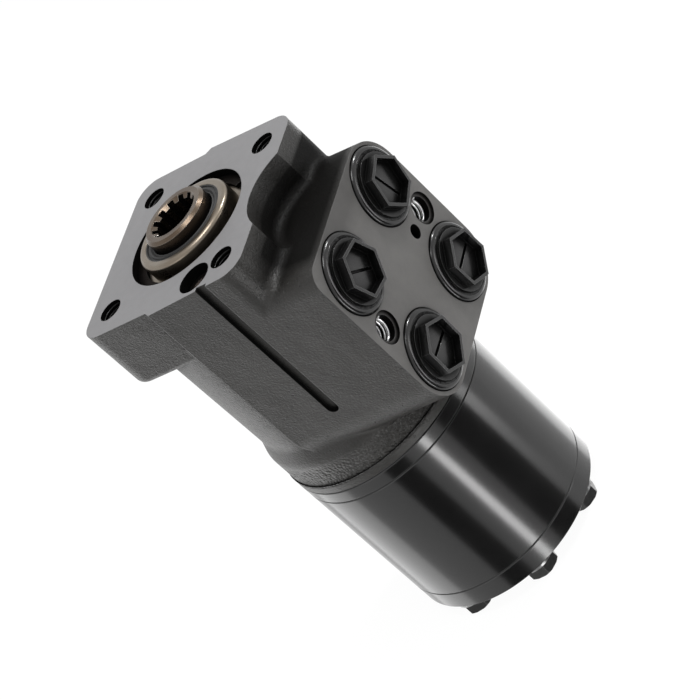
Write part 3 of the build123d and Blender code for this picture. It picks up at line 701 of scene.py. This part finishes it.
# %% The photograph's view
def aim_camera(bearing, height, roll, distance, target, lens):
    a, e, r = radians(bearing), radians(height), radians(roll)
    back = Vector((sin(a) * cos(e), -cos(a) * cos(e), sin(e)))
    level_right = Vector((cos(a), sin(a), 0.0))
    level_up = back.cross(level_right)
    right = cos(r) * level_right + sin(r) * level_up
    up = -sin(r) * level_right + cos(r) * level_up
    camera = add_object("camera", bpy.data.cameras.new("camera"))
    turn = Matrix((right, up, back)).transposed().to_4x4()
    camera.matrix_world = Matrix.Translation(Vector(target) * mm + back * distance * mm) @ turn
    camera.data.lens = lens
    camera.data.sensor_width = 36.0
    camera.data.clip_end = 50.0
    bpy.context.scene.camera = camera
    return back, right, up


toward_camera, view_right, view_up = aim_camera(
    44.199, 27.783, -47.540, 968.184, (-2.248, 12.607, -90.0), 128.84
)

# %% [markdown]
# ## Floor, background and lamps
# The photograph is cut out on pure white. The world shows white to the camera and in reflections,
# the floor only to the camera, and both light the valve at a plain level. The floor mixes a little
# real shading into its white, so the valve's shadow stays on it.

# %% A white room
def white_world():
    world = bpy.data.worlds.new("white_room")
    bpy.context.scene.world = world
    world.use_nodes = True
    tree = world.node_tree
    path = tree.nodes.new("ShaderNodeLightPath")
    seen = tree.nodes.new("ShaderNodeMath")
    seen.operation = "MAXIMUM"
    tree.links.new(path.outputs["Is Camera Ray"], seen.inputs[0])
    either = tree.nodes.new("ShaderNodeMath")
    either.operation = "MAXIMUM"
    tree.links.new(path.outputs["Is Glossy Ray"], either.inputs[0])
    tree.links.new(path.outputs["Is Transmission Ray"], either.inputs[1])
    tree.links.new(either.outputs[0], seen.inputs[1])
    level = tree.nodes.new("ShaderNodeMapRange")
    level.inputs["To Min"].default_value = 0.5
    level.inputs["To Max"].default_value = 1.0
    tree.links.new(seen.outputs[0], level.inputs["Value"])
    sky = tree.nodes["Background"]
    sky.inputs["Color"].default_value = grey(1.0)
    tree.links.new(level.outputs[0], sky.inputs["Strength"])


def pale_floor(height):
    finish = Finish("pale_floor", Roughness=0.9)
    tree = finish.tree
    grain = finish.noise(3.0)
    finish.finish(Base_Color=finish.blend(grain, grey(0.86), grey(0.90)))
    path = tree.nodes.new("ShaderNodeLightPath")
    camera_ray, glossy_ray, clear_ray = [
        Signal(finish, path.outputs[f"Is {kind} Ray"]) for kind in ("Camera", "Glossy", "Transmission")
    ]
    seen = camera_ray.most(glossy_ray).most(clear_ray)
    glow = finish.node("ShaderNodeEmission", {}, {"Color": grey(1.0), "Strength": 1.03})
    share = seen * 0.93
    lit = Signal(finish, finish.shader.outputs[0])
    mixed = finish.node("ShaderNodeMixShader", {}, {0: share, 1: lit, 2: glow})
    tree.links.new(mixed.socket, tree.nodes["Material Output"].inputs["Surface"])
    mesh = bpy.data.meshes.new("floor")
    reach = 8.0
    corners = [(-reach, -reach), (reach, -reach), (reach, reach), (-reach, reach)]
    mesh.from_pydata([(x, y, height) for x, y in corners], [], [(0, 1, 2, 3)])
    mesh.materials.append(finish.material)
    floor = add_object("floor", mesh)
    floor.visible_glossy = False
    floor.visible_shadow = False
    floor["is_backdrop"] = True


# %% [markdown]
# ## Lamps, panels and cards
# Three large soft lamps light the casting from the camera's side. Glossy paint shows its
# surroundings more than its own colour, so the bands on the round stack come from what stands
# beside it: one narrow strip for the bright line, two wide panels for the pale sides, and two black
# cards between them that only reflections see. A small lamp brings out the fillet in the pocket.

# %% Tools of the studio
def softbox(name, direction, distance, size, power, target=(0.0, 0.0, -0.09)):
    lamp = bpy.data.lights.new(name, "AREA")
    lamp.shape = "RECTANGLE"
    lamp.size, lamp.size_y = size
    lamp.energy = power
    box = add_object(name, lamp)
    direction = direction.normalized()
    box.location = Vector(target) + direction * distance
    box.rotation_mode = "QUATERNION"
    box.rotation_quaternion = direction.to_track_quat("Z", "Y")
    box.visible_camera = False


def compass(bearing, height):
    """A direction from the valve, from its bearing and its height over the floor in degrees."""
    a, e = radians(bearing), radians(height)
    return Vector((cos(a) * cos(e), sin(a) * cos(e), sin(e)))


def flag_card(name, bearing, height, size, distance=0.9, target=(0.0, 0.0, -0.12)):
    """A black card that only reflections see, as a photographer stands beside glossy paint."""
    wide, tall = size[0] / 2, size[1] / 2
    mesh = bpy.data.meshes.new(name)
    corners = [(-wide, -tall, 0), (wide, -tall, 0), (wide, tall, 0), (-wide, tall, 0)]
    mesh.from_pydata(corners, [], [(0, 1, 2, 3)])
    velvet = Finish(name, Roughness=1.0, Specular_IOR_Level=0.0)
    velvet.finish(Base_Color=grey(0.004))
    mesh.materials.append(velvet.material)
    card = add_object(name, mesh)
    direction = compass(bearing, height)
    card.location = Vector(target) + direction * distance
    card.rotation_mode = "QUATERNION"
    card.rotation_quaternion = direction.to_track_quat("Z", "Y")
    for ray in ("camera", "diffuse", "transmission", "shadow", "volume_scatter"):
        setattr(card, f"visible_{ray}", False)
    card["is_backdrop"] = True


# %% [markdown]
# ## Setting the light
# Directions follow the camera's own axes for the soft lamps, and bearings round the valve for what
# the stack reflects, because those bands have to stay at one side of the stack.

# %% The studio
white_world()
pale_floor(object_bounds()[0].z)
above_left = view_up * 0.9 - view_right * 0.7 + toward_camera * 0.9
right_side = view_right * 1.2 + view_up * 0.5 + toward_camera * 0.4
below_left = -view_up * 1.0 - view_right * 0.6 + toward_camera * 0.8
softbox("key_softbox", above_left, 1.3, (0.5, 0.5), 9.0)
softbox("side_softbox", right_side, 1.3, (0.4, 0.9), 4.0)
softbox("low_softbox", below_left, 1.5, (0.9, 0.5), 2.0)

stack_middle = (0.0, 0.0, -0.13)
mirror_height = -27.8
softbox("edge_strip", compass(-44, mirror_height), 1.0, (0.13, 0.9), 4.2, stack_middle)
softbox("right_panel", compass(102, mirror_height), 1.0, (0.7, 0.9), 2.8, stack_middle)
softbox("fillet_light", compass(53.7, 38.0), 1.0, (0.10, 0.10), 5.0)
softbox("left_panel", compass(-165, mirror_height), 1.0, (0.7, 0.9), 2.6, stack_middle)
flag_card("dark_flag_left", -80, -28, (0.36, 1.2))
flag_card("dark_flag_right", -5, -28, (0.50, 1.2))
bpy.context.scene.view_settings.view_transform = "Standard"
